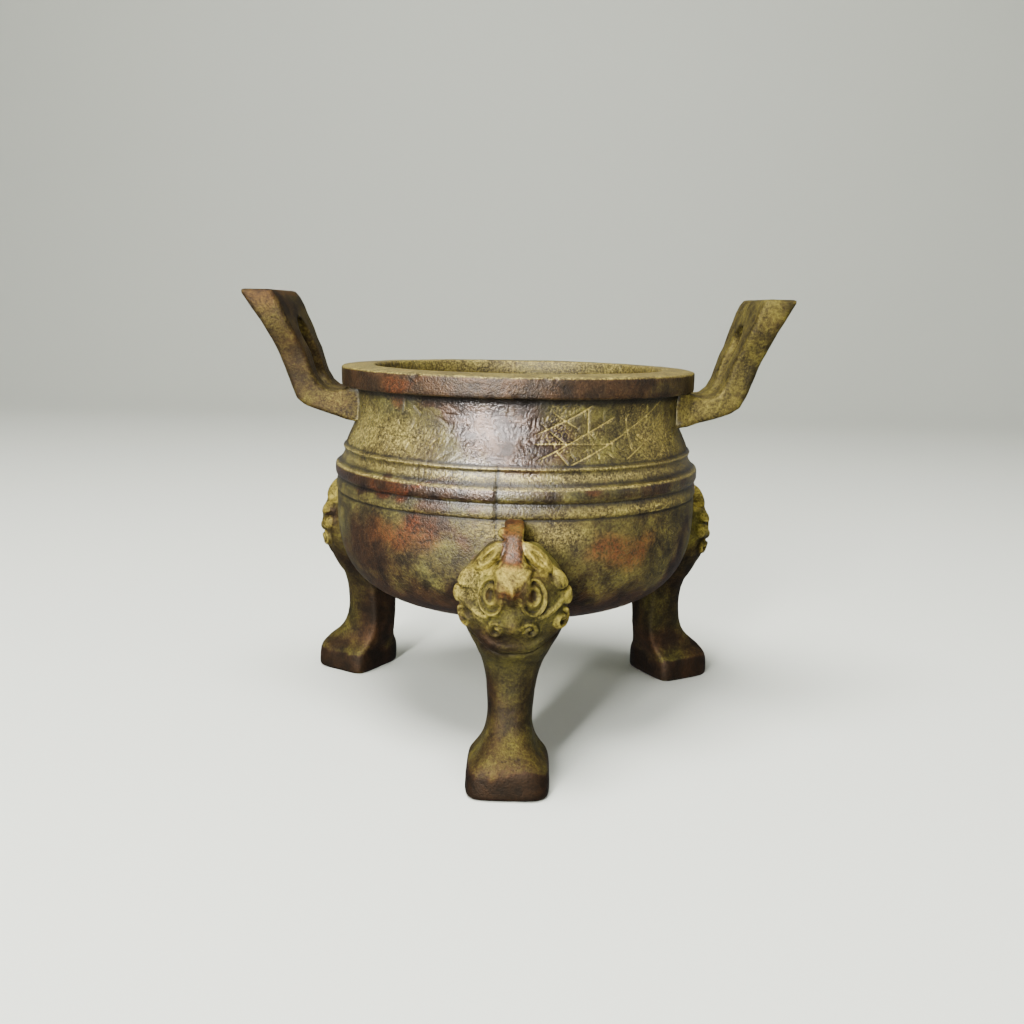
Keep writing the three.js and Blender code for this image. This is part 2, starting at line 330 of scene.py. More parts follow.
# The outward push of the bowl's surface in millimetres, how near an engraved line each point lies, and how
# deep in a mark of the ground
def bowl_relief(x, y, r, z):
    degrees = bowl_place(x, y)
    on_neck = (z > NECK_LOW_Z) & (z < NECK_HIGH_Z) & (r < 69.2) & (r > 62.5)
    outside = r > np.where(z > 106.0, 62.5, 0.94 * belly_radius(z))
    push = 0.12 * rough_surface(x, y, z, 16.0, 11, layers=2)
    push = push + 0.03 * on_neck * rough_surface(x, y, z, 2.4, 21, layers=2)
    nearness = net_strength(degrees, z, LINE_REACH)
    lines = step_between(0.5, 0.85, nearness)
    fade = step_between(NECK_LOW_Z, 111.4, z) * (1.0 - step_between(130.4, NECK_HIGH_Z, z))
    grains = spiral_ground(degrees, z) * fade
    left_over = 1.0 - WORN_SHARE * (1.0 - step_between(WORN_CORE, WORN_EDGE, np.abs(degrees - WORN_AT)))
    push = push - on_neck * left_over * (LINE_DEPTH * lines * fade + GRAIN_DEPTH * grains)
    push = push + seam_relief(degrees, z, r) * outside
    push = push - lip_wear(x, y, r, z)
    return push, np.where(on_neck, nearness * left_over, 0.0), np.where(on_neck, grains * left_over, 0.0)


# The ground of the neck: small worn curls and grains, close together
def spiral_ground(degrees, z):
    along = np.radians(degrees) * NECK_RADIUS
    warp = 0.5 * wander(along, z, 0 * z, 3.1, 41)
    column = (along + warp) / GRAIN_PITCH
    row = (z + 0.5 * wander(along, z, 0 * z, 3.3, 43)) / GRAIN_PITCH
    shift = np.floor(row) % 2 * 0.5
    u = (column + shift) % 1.0 - 0.5
    v = row % 1.0 - 0.5
    radius = np.hypot(u, v)
    turn = np.arctan2(v, u) / (2 * math.pi)
    curl = 0.5 + 0.5 * np.cos(2 * math.pi * (radius * 2.5 - turn))
    patches = step_between(-0.35, 0.45, rough_surface(along, z, 0 * z, 7.0, 47, layers=2))
    return curl * patches


# The mould seam stands this many degrees beside the front leg
SEAM_AT = -4.6

# The crack left of the front leg: (millimetres round the belly, height) pairs
CRACK = [(-9.0, 88.6), (-11.4, 86.2), (-13.2, 84.6)]
CRACK_HALF_WIDTH = 0.45
BELLY_DEGREE_MM = 1.25


# How deep in the crack each point lies, 1 in its middle
def crack_depth(degrees, z):
    distance = distance_to_line(degrees * BELLY_DEGREE_MM, z, CRACK)
    return np.exp(-((distance / CRACK_HALF_WIDTH) ** 2))


# The mould seam with its small step, and the crack on its left
def seam_relief(degrees, z, r):
    beside = degrees - (SEAM_AT + 0.35 * wander(degrees, z, 0 * z, 5.0, 51))
    below_bead = (z < 109.6) & (z > 80.0)
    groove = np.exp(-((beside / 0.42) ** 2)) * below_bead
    step = 0.40 * step_between(-0.25, 0.25, -beside) * np.exp(-np.clip(-beside, 0, 60) / 9.0)
    step = step * (z > 91.0) * (z < 104.0)
    return step - 0.4 * groove - 0.35 * crack_depth(degrees, z) * (r > 66)


# Nicks and worn places along the lip's edges
def lip_wear(x, y, r, z):
    near_top = step_between(137.5, 139.6, z)
    near_edge = np.maximum(step_between(68.6, 69.9, r), 1.0 - step_between(57.0, 58.2, r))
    chips = step_between(0.42, 0.85, rough_surface(x, y, 0 * z, 5.0, 61, layers=3))
    low_edge = step_between(69.0, 69.8, r) * (1.0 - step_between(132.4, 133.6, z)) * (z > 131.5)
    low_chips = step_between(0.5, 0.9, rough_surface(x, y, 0 * z, 4.0, 67, layers=3))
    return 0.55 * chips * near_top * near_edge + 0.4 * low_chips * low_edge


# Points along a profile at even steps of about the given length
def evenly_spaced(points, step):
    points = np.array(points, float)
    travelled = np.concatenate([[0.0], np.cumsum(np.linalg.norm(np.diff(points, axis=0), axis=1))])
    places = np.linspace(0.0, travelled[-1], max(2, round(travelled[-1] / step) + 1))
    radii, heights = np.interp(places, travelled, points[:, 0]), np.interp(places, travelled, points[:, 1])
    return list(zip(radii.tolist(), heights.tolist()))


# Rows of the turned bowl: radius, height and columns, up the outside and down the inside
def bowl_rows():
    belly = evenly_spaced(belly_curve(0.0, CURVE_STEPS)[1:], BELLY_STEP)
    neck = evenly_spaced(curve_through(NECK, 8), NECK_STEP)
    hollow = evenly_spaced(belly_curve(WALL, CURVE_STEPS)[:0:-1], INSIDE_STEP)
    rows = []
    for profile, columns in (
        (belly + BANDS, PLAIN_COLUMNS),
        (neck, FINE_COLUMNS),
        (LIP, PLAIN_COLUMNS),
        (INSIDE + hollow, INNER_COLUMNS),
    ):
        rows += [(r, z, columns) for r, z in profile]
    return rows


# Directions of the columns, closer together at the front, where the neck is engraved most
def column_turns(columns):
    turn = 2 * math.pi * np.arange(columns) / columns
    return turn - FRONT_CLOSENESS * np.sin(turn) - math.pi / 2


# The mouth stands a little higher at the front than at the back
MOUTH_TILT = 0.45


def mouth_lift(turn, z):
    return MOUTH_TILT * (1.0 - np.sin(turn)) * step_between(126.0, 132.0, z)


def bowl_mesh():
    rows = bowl_rows()
    profile = np.array([(r, z) for r, z, _ in rows])
    slope = np.gradient(profile, axis=0)
    slope /= np.linalg.norm(slope, axis=1)[:, None]
    starts, points = [], []
    total = 0
    for (r, z, columns), (dr, dz) in zip(rows, slope):
        turn = column_turns(columns)
        x, y = r * np.cos(turn), r * np.sin(turn)
        push = bowl_relief(x, y, np.full(columns, r), np.full(columns, z))[0]
        # outward from the profile is its direction of travel turned clockwise
        radius = r + push * dz
        height = z - push * dr + mouth_lift(turn, z)
        points.append(np.stack([radius * np.cos(turn), radius * np.sin(turn), height], 1))
        starts.append(total)
        total += columns
    bottom = np.array([[0.0, 0.0, BELLY_WIDEST_Z - BELLY_DROP]])
    inner_bottom = np.array([[0.0, 0.0, BELLY_WIDEST_Z - BELLY_DROP + WALL]])
    points = np.concatenate(points + [bottom, inner_bottom])
    faces = []
    for k in range(len(rows) - 1):
        faces += rows_between(starts[k], rows[k][2], starts[k + 1], rows[k + 1][2])
    n, last = rows[0][2], starts[-1]
    faces += [(total, (i + 1) % n, i) for i in range(n)]
    m = rows[-1][2]
    faces += [(total + 1, last + i, last + (i + 1) % m) for i in range(m)]
    return points, faces


# Faces between two rings of vertices; one may have twice the columns of the other
def rows_between(a, n, b, m):
    faces = []
    if n == m:
        for i in range(n):
            j = (i + 1) % n
            faces.append((a + i, a + j, b + j, b + i))
    elif m == 2 * n:
        for i in range(n):
            j = (i + 1) % n
            left, middle, right = b + 2 * i, b + 2 * i + 1, b + (2 * i + 2) % m
            faces += [(a + i, a + j, middle), (a + i, middle, left), (a + j, right, middle)]
    else:
        ratio = n // m
        for i in range(m):
            j = (i + 1) % m
            for k in range(ratio):
                first, second = a + ratio * i + k, a + (ratio * i + k + 1) % n
                faces.append((first, second, b + i if k < ratio // 2 else b + j))
            faces.append((a + ratio * i + ratio // 2, b + j, b + i))
    return faces


# Sections of a leg as pairs of height and size, as its side and front views show
LEG_BACK = [(0, 70.0), (2, 69.7), (10, 69.3), (14, 68.0), (19, 66.8), (24, 66.1), (60, 66.0)]
LEG_FRONT = [
    (0, 96.6), (1.0, 97.2), (3, 97.3), (8.4, 97.2), (10.4, 96.7), (12, 95.8), (14, 94.2), (16, 91.8),
    (18, 89.8), (20, 88.2), (22, 87.1), (25, 86.1), (28, 85.4), (32, 85.0), (36, 84.9), (40, 85.2),
    (43, 85.8), (45.4, 86.4), (47.6, 88.2), (51, 90.2), (55, 91.4), (60, 92.6), (64, 94.0), (70, 94.6),
    (76, 93.8), (80, 90.8), (83.5, 86.0), (86, 82.0),
]
LEG_HALF = [
    (0, 14.2), (1.0, 14.6), (5, 14.5), (8.4, 14.1), (10.2, 13.5), (12, 11.6), (14, 10.0), (16, 9.1),
    (18, 8.5), (20, 8.2), (22, 8.05), (25, 7.95), (28, 8.05), (32, 8.4), (36, 8.8), (40, 9.6), (43, 10.4),
    (45.4, 11.3), (47.6, 12.4), (51, 13.8), (55, 16.0), (60, 18.1), (67, 18.6), (73, 17.8), (77, 15.6),
    (80, 12.8), (83.5, 9.4), (86, 7.0),
]
LEG_SQUARENESS = [(0, 5.0), (10, 4.6), (18, 3.0), (24, 2.6), (60, 2.5), (86, 2.4)]
# The masks hang a little to one side, so each leg leans with height
LEG_LEAN = [(0, 0.0), (18, 0.1), (25, 0.35), (40, 0.75), (50, 1.1), (58, 1.2), (68, 0.6), (93, 0.6)]
MASK_TOP = 84.6

CREST_OUTLINE = [
    (64, 68), (95, 68), (96.8, 73), (96.6, 76.5), (94.8, 80), (92.6, 83), (90.9, 86), (88.9, 88.6),
    (85.8, 90.9), (81.5, 92.2), (75.0, 92.6), (64, 92.6),
]
CREST_HALF = [(70, 6.2), (78, 6.0), (80, 5.3), (82.4, 3.9), (85, 3.2), (88.2, 3.05), (90.4, 3.4), (92.6, 3.7)]

MASK_AXIS = 78.0
MASK_ROUND = 17.0


# Where a point lies on the mask, unrolled round an upright line inside the head, in millimetres
def mask_place(x, y):
    return MASK_ROUND * np.arctan2(y, x - MASK_AXIS)


# A raised or sunken line on the mask, round in section
def bar(u, z, points, half_width):
    distance = distance_to_line(u, z, points)
    return np.sqrt(np.clip(1.0 - (distance / half_width) ** 2, 0.0, 1.0))


def dome(u, z, at_u, at_z, half_u, half_z, tilt=0.0):
    c, s = math.cos(math.radians(tilt)), math.sin(math.radians(tilt))
    p = ((u - at_u) * c + (z - at_z) * s) / half_u
    q = (-(u - at_u) * s + (z - at_z) * c) / half_z
    return np.sqrt(np.clip(1.0 - p * p - q * q, 0.0, 1.0))


def arc_points(at_u, at_z, half_u, half_z, start, end, steps=14):
    turns = [math.radians(start + (end - start) * i / steps) for i in range(steps + 1)]
    return [(at_u + half_u * math.cos(t), at_z + half_z * math.sin(t)) for t in turns]


def curl_points(at_u, at_z, radius, start, turn, steps=16):
    out = []
    for i in range(steps + 1):
        share = i / steps
        angle = math.radians(start + turn * share)
        size = radius * (1.0 - 0.72 * share)
        out.append((at_u + size * math.cos(angle), at_z + size * math.sin(angle)))
    return out


EYE = (6.9, 70.7)
EYE_HALF = (4.2, 6.6)
PUPIL_LIFT = 0.5


# One eye: a raised outer ring, a second ring inside it and a drilled pupil
def eye_relief(u, z):
    at_u, at_z = EYE
    q = np.hypot((u - at_u) / EYE_HALF[0], (z - at_z) / EYE_HALF[1])
    ball = 1.5 * np.sqrt(np.clip(1.0 - (q / 1.1) ** 2, 0.0, 1.0))
    outer = 1.15 * np.exp(-(((q - 0.93) / 0.11) ** 2))
    groove = -1.1 * np.exp(-(((q - 0.73) / 0.09) ** 2))
    low = np.hypot((u - at_u) / EYE_HALF[0], (z - at_z - PUPIL_LIFT) / EYE_HALF[1])
    inner = 0.6 * np.exp(-(((low - 0.46) / 0.11) ** 2))
    pupil = -2.1 * (1.0 - step_between(0.14, 0.34, low))
    return np.where(q < 1.3, ball + outer + groove + inner + pupil, 0.0)


# The face of the mask as heights over its rounded body; u counts from the middle, made even on both sides
def mask_relief(u, z):
    side = np.abs(u)
    height = np.zeros(np.broadcast(u, z).shape, np.float32)
    socket = dome(side, z, EYE[0], EYE[1], 6.4, 8.4)
    height = height - 1.0 * socket + eye_relief(side, z)
    # the hollow under the point of the brow, between the eyes
    height = height - 1.1 * dome(side, z, 0.0, 67.0, 2.4, 4.6)
    # lower lid and the tail of the eye that sweeps up to the temple
    tail = [(8.6, 63.6), (11.4, 64.6), (14.8, 67.0), (18.2, 69.6)]
    height = np.maximum(height, 1.4 * bar(side, z, tail, 1.0) - 0.1)
    height = height - 0.9 * bar(side, z, [(p + 0.5, q - 1.8) for p, q in tail], 0.8)
    # cheek: an upper lobe, a middle lobe and a curl under them
    height = np.maximum(height, 1.9 * dome(side, z, 18.4, 75.2, 3.5, 3.9, -25))
    height = np.maximum(height, 2.0 * dome(side, z, 20.6, 69.8, 3.8, 3.9, 20))
    height = height - 1.1 * bar(side, z, [(13.2, 71.6), (17.0, 71.8), (22.5, 73.2)], 0.8)
    height = np.maximum(height, 1.5 * bar(side, z, curl_points(17.6, 61.8, 3.7, 60, -400), 0.9) - 0.15)
    height = height - 0.9 * bar(side, z, arc_points(17.6, 61.8, 5.0, 5.0, 80, -90), 0.7)
    # nostril curl, lip and jaw
    height = np.maximum(height, 1.2 * bar(side, z, curl_points(6.2, 58.6, 3.1, 150, -420), 0.85) - 0.1)
    height = height - 0.8 * bar(side, z, arc_points(6.2, 58.6, 4.4, 4.4, 60, 250), 0.6)
    lip = [(0.0, 54.6), (4.5, 54.2), (8.5, 54.8), (12.0, 57.2), (13.6, 60.4)]
    height = height - 1.0 * bar(side, z, lip, 0.9)
    jaw = [(0.0, 51.8), (5.0, 51.4), (10.0, 52.8), (14.4, 56.2), (17.6, 58.2)]
    height = np.maximum(height, 0.5 * bar(side, z, jaw, 1.7) - 0.1)
    height = height - 0.5 * bar(side, z, [(p * 1.04, q - 2.1) for p, q in jaw], 0.7)
    fade = step_between(47.5, 50.0, z) * (1.0 - step_between(80.0, 82.5, z))
    fade = fade * (1.0 - step_between(26.0, 31.0, side))
    return 1.15 * height * fade


# The prow of the brow: a plate that narrows downwards between the eyes to a point
BROW_HALF = [
    (70.4, 0.5), (71.6, 0.9), (73, 1.4), (74.5, 2.2), (76, 3.4), (77.3, 4.8), (78.4, 6.1), (79.4, 6.7),
    (81, 6.4),
]


def brow_half(z):
    return soft_table(BROW_HALF, 0.6)(z)


def brow_distance(x, y, z):
    front = 0.465 * (z - 79.0) + 0.885 * (x - 95.4)
    under = -0.72 * (z - 71.5) + 0.69 * (x - 99.2)
    flank = np.abs(y) - brow_half(z)
    top = z - 79.8
    planes = soft_common(soft_common(front, under, 2.2), soft_common(flank, top, 1.6), 2.4)
    return soft_common(planes, 84.0 - x, 1.0)


# Distance to an ellipsoid; tilt turns it in the plane across the leg, in degrees
def ball_distance(x, y, z, centre, halves, tilt=0.0):
    c, s = math.cos(math.radians(tilt)), math.sin(math.radians(tilt))
    dx, dy, dz = x - centre[0], y - centre[1], z - centre[2]
    p, q = dy * c + dz * s, -dy * s + dz * c
    k0 = np.sqrt((dx / halves[0]) ** 2 + (p / halves[1]) ** 2 + (q / halves[2]) ** 2)
    k1 = np.sqrt((dx / halves[0] ** 2) ** 2 + (p / halves[1] ** 2) ** 2 + (q / halves[2] ** 2) ** 2)
    return k0 * (k0 - 1.0) / np.maximum(k1, 1e-4)


# Centres and half sizes of the snout and of the knob on one side of the crest
SNOUT = (90.4, 0.0, 61.0), (5.4, 4.6, 4.4)
KNOB = (84.4, -3.4, 90.0), (2.6, 1.9, 2.0)

# One ear: a leaf that leans away from the crest, with a groove along its middle
EAR_CENTRE = (88.0, 7.8, 82.8)
EAR_TILT = 46.0


def ear_distance(x, y, z):
    side = np.abs(y)
    leaf = ball_distance(x, side, z, EAR_CENTRE, (3.5, 2.9, 6.7), EAR_TILT)
    crease = (EAR_CENTRE[0] + 3.5, EAR_CENTRE[1] + 0.4, EAR_CENTRE[2] + 0.6)
    return soft_common(leaf, -ball_distance(x, side, z, crease, (1.7, 0.9, 4.5), EAR_TILT), 0.4)


# The whole leg as a distance on a grid of points: foot, shank, mask, crest, brow, snout and ears
def leg_distance(x, y, z):
    back, front, half = soft_table(LEG_BACK)(z), soft_table(LEG_FRONT)(z), soft_table(LEG_HALF)(z)
    # above the shank the back follows the belly and sinks a little way into it
    back = np.maximum(back, np.where(z > 60.0, belly_radius(z) - 2.5, 0.0))
    power_front = soft_table(LEG_SQUARENESS, 4.0)(z)
    middle = back + 0.42 * (front - back)
    ahead = x > middle
    reach = np.maximum(np.where(ahead, front - middle, middle - back), 1.0)
    power = np.where(ahead, power_front, 6.0)
    across = np.abs(x - middle) / reach
    sideways = np.abs(y) / half
    shape = (across**power + sideways**power) ** (1.0 / power)
    body = (shape - 1.0) * np.minimum(reach, half)
    slopes = np.gradient(body, CARVING_GRID)
    steep = np.sqrt(slopes[0] ** 2 + slopes[1] ** 2 + slopes[2] ** 2)
    body = body / np.maximum(steep, 0.35)
    body = body - mask_relief(mask_place(x, y), z) * (x > 70.0)
    body = soft_common(body, z - MASK_TOP, 2.0)
    crest_half = soft_table(CREST_HALF, 1.2)(z)
    crest = soft_common(distance_to_outline(x, z, CREST_OUTLINE), np.abs(y) - crest_half, 2.4)
    body = soft_union(body, ball_distance(x, y, z, *SNOUT), 1.2)
    body = soft_union(body, ear_distance(x, y, z), 0.7)
    body = soft_union(body, ball_distance(x, y, z, *KNOB), 0.8)
    body = soft_union(body, brow_distance(x, y, z), 0.8)
    body = soft_union(body, crest, 1.0)
    body = body - 0.10 * rough_surface(x, y, z, 7.0, 71) - 0.035 * rough_surface(x, y, z, 1.8, 77, layers=1)
    # the flat sole, with a soft edge
    return soft_common(body, -z, 1.2)


# Meshes a distance that is given on a box of evenly spaced points
def carve(distance_of, low, high, step):
    axes = [np.arange(a, b + step, step, dtype=np.float32) for a, b in zip(low, high)]
    x, y, z = np.meshgrid(*axes, indexing="ij")
    distance = distance_of(x, y, z).astype(np.float32)
    grid = openvdb.FloatGrid(3.0)
    grid.copyFromArray(np.clip(distance / step, -3.0, 3.0))
    points, quads = grid.convertToQuads(0.0)
    return points.astype(float) * step + np.array(low), quads


def leg_mesh():
    return carve(leg_distance, (61.0, -23.0, -2.0), (103.0, 23.0, 95.5), CARVING_GRID)


# The side view of a handle: level root, bend, rising plate and level top
HANDLE_SIDE = [
    (60.0, 118.4), (66.0, 119.3), (71.0, 121.0), (78.0, 123.0), (82.8, 124.7), (86.0, 127.0),
    (88.2, 131.7), (90.3, 137.5), (92.4, 143.5), (95.0, 150.0), (98.0, 156.0), (101.7, 162.0),
    (104.9, 167.2), (104.9, 168.3), (103.8, HANDLE_TOP_Z), (94.9, HANDLE_TOP_Z), (93.2, 168.3),
    (91.6, 166.4), (90.2, 163.6), (88.7, 159.6), (87.0, 155.6), (84.8, 150.0), (82.7, 145.9),
    (81.2, 141.4), (79.7, 136.8), (77.6, 133.0), (75.0, 130.9), (71.6, 130.2), (68.0, 131.2),
    (66.0, 133.0), (60.0, 133.0),
]
HANDLE_HALF = [
    (115, 20.0), (121, 19.0), (127, HANDLE_HALF_LOW), (136, HANDLE_HALF_LOW), (144, 18.7), (150, 20.4),
    (156, 22.2), (161, 22.9), (166, HANDLE_HALF_HIGH), (168, 22.6), (169, 22.0),
]

SLOT_INNER_X = 73.0


# The handle as a distance: side view, front view, a slot with round ends and softened edges
def handle_distance(x, y, z):
    side = distance_to_outline(x[:, :1], z[:, :1], HANDLE_SIDE)
    half = soft_table(HANDLE_HALF, 3.0)(z)
    plate = soft_common(side, np.abs(y) - half, 2.2)
    middle = np.clip(z, SLOT_LOW_Z + SLOT_HALF_WIDTH, SLOT_HIGH_Z - SLOT_HALF_WIDTH)
    slot = np.hypot(y, z - middle) - SLOT_HALF_WIDTH
    slot = np.maximum(slot, SLOT_INNER_X - x)
    handle = soft_common(plate, -slot, 1.6)
    handle = handle - 0.14 * rough_surface(x, y, z, 9.0, 81)
    handle = handle - 0.05 * rough_surface(x, y, z, 2.2, 87, layers=2)
    return soft_common(handle, z - HANDLE_TOP_Z, 0.8)


def handle_mesh():
    low = (59.0, -HANDLE_HALF_HIGH - 2.0, 116.0)
    high = (HANDLE_TIP_X + 2.0, HANDLE_HALF_HIGH + 2.0, HANDLE_TOP_Z + 2.0)
    return carve(handle_distance, low, high, HANDLE_GRID)


# Makes an object from points in millimetres, turned about the bowl's axis and set at its place
def make_object(name, points, faces, turned=0.0):
    angle = math.radians(turned)
    c, s = math.cos(angle), math.sin(angle)
    points = np.asarray(points, float)
    turned_points = np.stack(
        [points[:, 0] * c - points[:, 1] * s, points[:, 0] * s + points[:, 1] * c + AXIS_Y, points[:, 2]], 1
    )
    mesh = bpy.data.meshes.new(name)
    mesh.from_pydata((turned_points * MM).tolist(), [], [tuple(int(i) for i in f) for f in faces])
    mesh.update()
    obj = bpy.data.objects.new(name, mesh)
    bpy.context.scene.collection.objects.link(obj)
    return obj


# Replaces an object's mesh by what its modifiers make of it
def apply_modifiers(obj):
    depsgraph = bpy.context.evaluated_depsgraph_get()
    made = bpy.data.meshes.new_from_object(obj.evaluated_get(depsgraph))
    obj.modifiers.clear()
    obj.data = made


def thinned(obj, triangles):
    have = sum(len(p.vertices) - 2 for p in obj.data.polygons)
    if have > triangles:
        modifier = obj.modifiers.new("thin", "DECIMATE")
        modifier.ratio = triangles / have
        apply_modifiers(obj)
    return obj


def joined(whole, others):
    for other in others:
        modifier = whole.modifiers.new("join", "BOOLEAN")
        modifier.operation = "UNION"
        modifier.solver = "MANIFOLD"
        modifier.object = other
    apply_modifiers(whole)
    for other in others:
        bpy.data.objects.remove(other)
    return whole


# How far each leg and handle strays from the shape that they share, as castings do; the back legs lean less
BACK_LEG_LEAN = 0.3
HANDLE_ANGLES = (0.0, 180.0)
HANDLE_SWAY = [(122.0, 0.0), (132.0, 0.55), (150.0, 0.5), (168.0, -0.4)]


def leaned(points, angle):
    share = 1.0 if angle == LEG_ANGLES[0] else BACK_LEG_LEAN
    shift = share * soft_table(LEG_LEAN, 6.0)(points[:, 2])
    return np.stack([0 * shift, shift, 0 * shift], 1)


def swayed(points, angle):
    side = 1.0 if angle == HANDLE_ANGLES[0] else -1.0
    shift = side * np.interp(points[:, 2], *zip(*HANDLE_SWAY))
    return np.stack([shift, 0 * shift, 0 * shift], 1)


def build_vessel():
    vessel = make_object("ding", *bowl_mesh())
    leg = thinned(make_object("leg", *leg_mesh()), LEG_TRIANGLES)
    handle = thinned(make_object("handle", *handle_mesh()), HANDLE_TRIANGLES)
    others = []
    for source, angles, strayed in ((leg, LEG_ANGLES, leaned), (handle, HANDLE_ANGLES, swayed)):
        points = np.zeros(len(source.data.vertices) * 3)
        source.data.vertices.foreach_get("co", points)
        points = points.reshape(-1, 3) / MM - (0.0, AXIS_Y, 0.0)
        faces = [tuple(p.vertices) for p in source.data.polygons]
        for angle in angles:
            others.append(make_object("arm", points + strayed(points, angle), faces, angle))
        bpy.data.objects.remove(source)
    return joined(vessel, others)


vessel = build_vessel()

# Patches of patina on the bowl: degrees from the front leg, height, reach in degrees and reach in height
RUST_SPOTS = [
    (-38, 135.5, 20, 5), (-30, 101.0, 16, 4), (-33, 82.0, 16, 14), (36, 80.0, 13, 12), (22, 100.5, 4, 3),
    (-12, 76.0, 6, 7), (120, 84.0, 22, 16), (-150, 80.0, 22, 16), (175, 135.0, 25, 5), (80, 100.0, 14, 4),
]
DARK_SPOTS = [
    (-52, 78.0, 22, 22), (68, 66.0, 14, 14), (-24, 87.0, 12, 9), (0, 55.0, 120, 12), (-2, 119.0, 17, 15),
    (-36, 100.4, 34, 3.4), (-16, 127.0, 14, 6), (150, 70.0, 40, 25), (-115, 76.0, 30, 24),
]
PALE_SPOTS = [
    (-60, 118.0, 26, 14), (-42, 117.0, 20, 10), (54, 118.0, 26, 12), (-6, 88.0, 9, 4), (12, 86.0, 12, 7),
    (40, 94.4, 40, 2.0), (0, 106.0, 130, 2.0), (140, 118.0, 60, 14), (-130, 118.0, 50, 14),
]
LIP_FILM = [(60, 135, 34, 12), (-80, 135, 26, 12), (150, 135, 60, 12), (-150, 135, 30, 12)]

# Grooves that hold grime, by the heights of their low edge, middle and high edge, and edges rubbed pale, by
# height and half width
DARK_LINES = [(90.9, 91.6, 92.3), (96.2, 97.0, 97.9), (102.9, 103.6, 105.2), (109.4, 110.1, 111.0)]
PALE_LINES = [(102.5, 0.55), (109.0, 0.6), (92.7, 0.4)]

# How much olive film lies where nothing else is said
FILM = 0.62


# The strongest of several soft spots, each 1 at its middle and 0 at its edge
def spots(degrees, z, places):
    total = np.zeros(np.shape(z))
    for at_degrees, at_z, wide, high in places:
        q = np.hypot(wrapped(degrees - at_degrees) / wide, (z - at_z) / high)
        total = np.maximum(total, 1.0 - step_between(0.0, 1.15, q))
    return total


# Where the vertices lie, in millimetres from the bowl's axis, and which belong to which part
def surface_places(mesh):
    co = np.zeros(len(mesh.vertices) * 3)
    mesh.vertices.foreach_get("co", co)
    x, y, z = (co.reshape(-1, 3) / MM).T
    y = y - AXIS_Y
    r = np.hypot(x, y)
    # patina is placed by the heights of the level bowl
    z = z - np.where(r < 72.0, mouth_lift(np.arctan2(y, x), z), 0.0)
    at = SimpleNamespace(x=x, y=y, z=z, r=r, degrees=bowl_place(x, y))
    # patches are placed on coordinates that wander, so that their outlines are ragged
    at.ragged_degrees = at.degrees + 9.0 * rough_surface(x, y, z, 16.0, 91)
    at.ragged_z = z + 6.0 * rough_surface(x, y, z, 14.0, 95)
    outside = r > np.where(z > 106.0, 62.0, 0.94 * belly_radius(z))
    at.on_bowl = (r < 73.4) & (z > 45.0) & outside
    at.inside = ~outside & (z > 48.0) & (z < 139.0) & (r < 68.5)
    neck_radius = np.interp(z, [height for _, height in NECK], [radius for radius, _ in NECK])
    root = (np.abs(x) > 55.0) & (np.abs(y) < 21.0) & (z > 117.0) & (z < 131.5) & (r > neck_radius + 0.7)
    at.handle = root | ((np.abs(x) > 70.5) & (z > 116.0))
    at.lip = (r > 56.0) & (z > 131.5) & ~at.handle
    at.legs = np.zeros(len(r), bool)
    return at


# The mask's patina and painted shade: grime and painted shade in its hollows, straw yellow on what stands
# out, and rust on the crest and brow
def mark_mask(at, marks, leg, face, out, side):
    rust, grime_and_shade, straw, z = marks["rust"], marks["grime_and_shade"], marks["straw"], at.z
    across = np.abs(side)
    relief = mask_relief(mask_place(out[face], side[face]), z[face])
    # painted shade: the hollows of the mask are darkened, partly as grime and partly as the shade they would
    # hold
    grime_and_shade[face] = np.maximum(grime_and_shade[face], step_between(-0.25, 0.6, -relief))
    straw[face] = 0.7 * step_between(0.5, 2.0, relief)
    straw[face & (z < 54.0)] = 0.0
    ear = leg & (across > 3.4) & (z > 77.5) & (out > 82.0)
    straw[ear] = 0.74
    beyond_brow = across - brow_half(z)
    prow = leg & (beyond_brow < 0.6) & (z > 70.5) & (z < 80.6) & (out > 91.0)
    straw[prow] = 0.55 * step_between(71.0, 76.0, z[prow])
    straw[prow] *= 1.0 - step_between(-0.6, 0.6, beyond_brow[prow])
    grime_and_shade[prow | ear] = 0.0
    beak = leg & (across < 4.0) & (z > 70.0) & (z < 90.0) & (out > 89.0)
    rust[beak] = np.maximum(rust[beak], 0.7 * (1.0 - step_between(72.5, 75.0, z[beak])))
    rust[prow] = np.maximum(rust[prow], 0.4)
    rust[leg & (across < 4.0) & (z > 80.0)] = 0.75
    from_pupil = np.hypot((across - EYE[0]) / EYE_HALF[0], (z - EYE[1] - PUPIL_LIFT) / EYE_HALF[1])
    pupil = face & (from_pupil < 0.32)
    grime_and_shade[pupil] = 0.55
    rust[pupil] = 0.6
    blush = face & (z < 66.0) & (z > 55.0) & (across < 12.0)
    rust[blush] = 0.45 * step_between(0.0, 0.6, wander(at.x, at.y, z, 6.0, 99)[blush])
